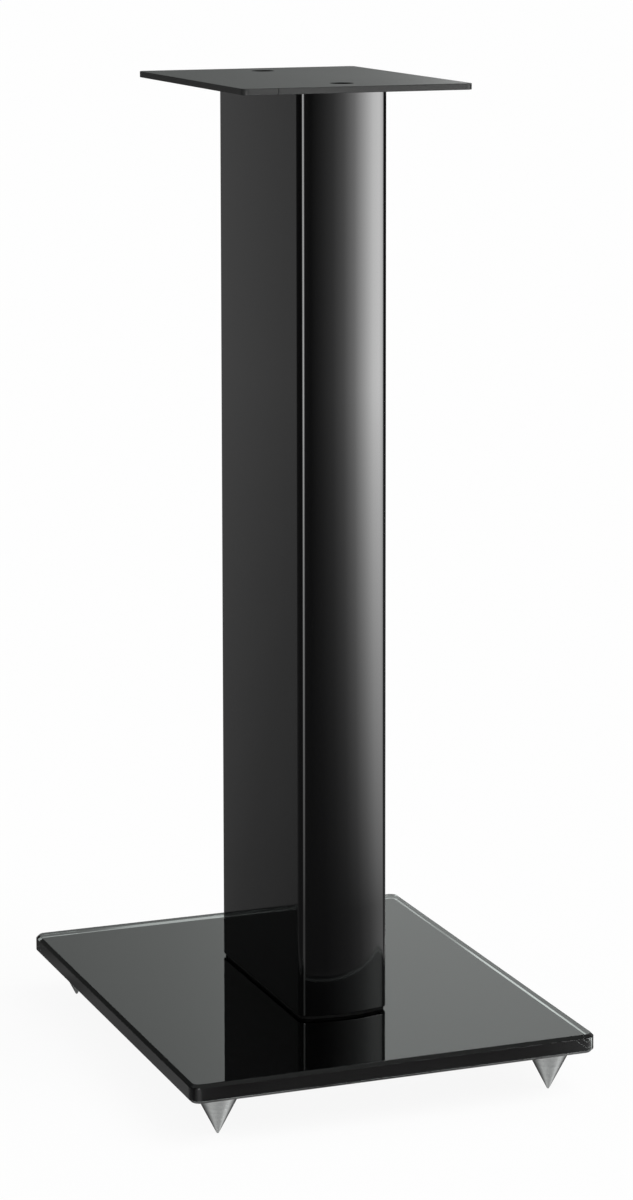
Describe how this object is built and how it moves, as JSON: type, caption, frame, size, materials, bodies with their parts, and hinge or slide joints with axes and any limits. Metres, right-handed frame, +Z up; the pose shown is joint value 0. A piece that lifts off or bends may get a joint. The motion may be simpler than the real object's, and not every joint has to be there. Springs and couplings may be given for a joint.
{
  "type": "speaker stand",
  "caption": "Floor stand for a bookshelf loudspeaker: flat steel top plate on a tall gloss black column, bolted to a bevelled glass base that stands on screw-in spikes.",
  "frame": {"origin": "on the floor, under the middle of the stand, level with the spikes' points at rest", "axes": "+Z up, +X to the right as seen from the front, front towards -Y"},
  "size_m": [0.266, 0.33, 0.627],
  "materials": {
    "plate_powder": "fine-texture black powder coat on steel",
    "column_gloss": "gloss black lacquer on an aluminium extrusion",
    "clear_glass": "clear toughened glass with ground and polished bevels",
    "black_film": "gloss black film seen through the glass",
    "black_rubber": "matt black rubber",
    "black_screw": "black oxide screw",
    "plain_steel": "zinc-plated steel",
    "white_nylon": "natural nylon",
    "socket_steel": "satin turned steel, as the spikes have",
    "spike_steel": "satin turned steel with fine lathe rings"
  },
  "bodies": {
    "stand": {"top_plate": "plate_powder", "top_screw_front": "black_screw", "top_screw_rear": "black_screw", "column": "column_gloss", "column_gasket": "black_rubber", "glass_base": "clear_glass", "backing_film": "black_film", "clamp_sheet": "black_rubber", "clamp_plate": "plain_steel", "bolt_sleeve_front": "white_nylon", "bolt_sleeve_rear": "white_nylon", "base_washer_front": "plain_steel", "base_washer_rear": "plain_steel", "base_bolt_front": "black_screw", "base_bolt_rear": "black_screw", "foot_socket_front_left": "socket_steel", "foot_socket_front_right": "socket_steel", "foot_socket_rear_left": "socket_steel", "foot_socket_rear_right": "socket_steel"},
    "front_left_stud": {"spike_stud_front_left": "plain_steel"},
    "front_left_spike": {"spike_front_left": "spike_steel"},
    "front_right_stud": {"spike_stud_front_right": "plain_steel"},
    "front_right_spike": {"spike_front_right": "spike_steel"},
    "rear_left_stud": {"spike_stud_rear_left": "plain_steel"},
    "rear_left_spike": {"spike_rear_left": "spike_steel"},
    "rear_right_stud": {"spike_stud_rear_right": "plain_steel"},
    "rear_right_spike": {"spike_rear_right": "spike_steel"}
  },
  "joints": [
    {"name": "front_left_lift", "type": "slide", "parent": "stand", "child": "front_left_stud", "axis": [0, 0, -1], "range_m": [0, 0.0025]},
    {"name": "front_left_turn", "type": "hinge", "parent": "front_left_stud", "child": "front_left_spike", "pos_m": [-0.1095, -0.1435, 0.02], "axis": [0, 0, -1], "range_deg": [0, 720.1]},
    {"name": "front_right_lift", "type": "slide", "parent": "stand", "child": "front_right_stud", "axis": [0, 0, -1], "range_m": [0, 0.0025]},
    {"name": "front_right_turn", "type": "hinge", "parent": "front_right_stud", "child": "front_right_spike", "pos_m": [0.1095, -0.1435, 0.02], "axis": [0, 0, -1], "range_deg": [0, 720.1]},
    {"name": "rear_left_lift", "type": "slide", "parent": "stand", "child": "rear_left_stud", "axis": [0, 0, -1], "range_m": [0, 0.0025]},
    {"name": "rear_left_turn", "type": "hinge", "parent": "rear_left_stud", "child": "rear_left_spike", "pos_m": [-0.1095, 0.1435, 0.02], "axis": [0, 0, -1], "range_deg": [0, 720.1]},
    {"name": "rear_right_lift", "type": "slide", "parent": "stand", "child": "rear_right_stud", "axis": [0, 0, -1], "range_m": [0, 0.0025]},
    {"name": "rear_right_turn", "type": "hinge", "parent": "rear_right_stud", "child": "rear_right_spike", "pos_m": [0.1095, 0.1435, 0.02], "axis": [0, 0, -1], "range_deg": [0, 720.1]}
  ],
  "couplings": [
    {"joint": "front_left_turn", "follows": "front_left_lift", "rad_per_m": 5026.5},
    {"joint": "front_right_turn", "follows": "front_right_lift", "rad_per_m": 5026.5},
    {"joint": "rear_left_turn", "follows": "rear_left_lift", "rad_per_m": 5026.5},
    {"joint": "rear_right_turn", "follows": "rear_right_lift", "rad_per_m": 5026.5}
  ]
}
